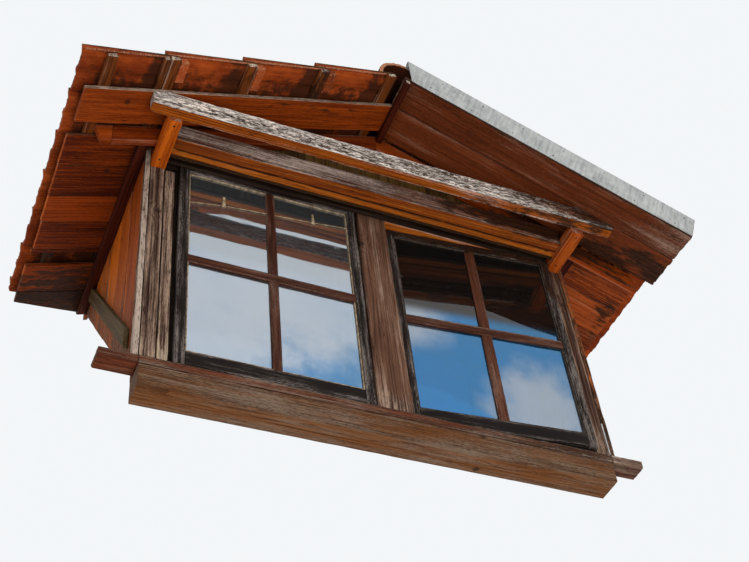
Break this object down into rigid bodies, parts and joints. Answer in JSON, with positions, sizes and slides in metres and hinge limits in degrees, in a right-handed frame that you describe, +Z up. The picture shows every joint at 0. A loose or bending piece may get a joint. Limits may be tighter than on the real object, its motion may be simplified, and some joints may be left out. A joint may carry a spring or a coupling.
{
  "type": "dormer window",
  "caption": "Weathered timber dormer with a tiled gabled roof, open front eave and two four-light windows, for a steep roof",
  "frame": {"origin": "middle of the sill beam's flat underside, where the dormer sits on the wall head", "axes": "+Z up, +X right along the front wall, +Y into the building; the windows look towards -Y"},
  "size_m": [2.6693, 1.7501, 1.7679],
  "materials": {
    "frame_timber": "rough sawn, dark with age",
    "sill_timber": "worn red-brown stain going grey",
    "post_timber": "weathered grey-brown",
    "cheek_boards": "orange-brown, grey at the foot",
    "eave_timber": "orange-brown, sheltered",
    "gable_boards": "dark olive brown",
    "grey_timber": "silver-grey, pitted",
    "tie_timber": "grey-brown with open cracks, orange underneath",
    "roof_boards": "deep red-brown stain with knots",
    "batten_timber": "sawn, pale ends",
    "clay_tile": "unglazed, terracotta with dark growth",
    "zinc_sheet": "dull light grey, mottled",
    "red_trim": "dark red stain",
    "side_board": "olive brown, worn",
    "casing_timber": "nearly black",
    "sash_timber": "dark, peeling paint",
    "inner_timber": "faded paint",
    "window_glass": "clear old sheet glass"
  },
  "bodies": {
    "root": {"sill_beam": "frame_timber", "sill_board": "sill_timber", "left_corner_post": "post_timber", "mid_post": "post_timber", "right_corner_post": "post_timber", "left_cheek": "cheek_boards", "right_cheek": "cheek_boards", "left_sole_plate": "frame_timber", "right_sole_plate": "frame_timber", "left_wall_plate": "eave_timber", "right_wall_plate": "eave_timber", "eave_purlins": "frame_timber", "head_beam": "frame_timber", "head_board": "gable_boards", "gable_panel": "gable_boards", "tie_boards": "tie_timber", "front_beam": "grey_timber", "king_post": "frame_timber", "ridge_purlin": "frame_timber", "left_gable_rafter": "eave_timber", "right_gable_rafter": "eave_timber", "rafter_tail_block": "eave_timber", "left_front_board": "roof_boards", "right_front_boards": "roof_boards", "left_sheathing": "roof_boards", "right_sheathing": "roof_boards", "left_battens": "batten_timber", "right_battens": "batten_timber", "left_tiles": "clay_tile", "right_tiles": "clay_tile", "ridge_tiles": "clay_tile", "verge_upstand": "batten_timber", "verge_flashing": "zinc_sheet", "cheek_trims": "red_trim", "left_side_flashing": "side_board", "right_side_flashing": "side_board", "left_casing": "casing_timber", "right_casing": "casing_timber", "left_sash": "sash_timber", "right_sash": "sash_timber", "left_pane": "window_glass", "right_pane": "window_glass", "left_inner_sash": "inner_timber", "right_inner_sash": "inner_timber", "inner_panes": "window_glass"}
  },
  "joints": []
}
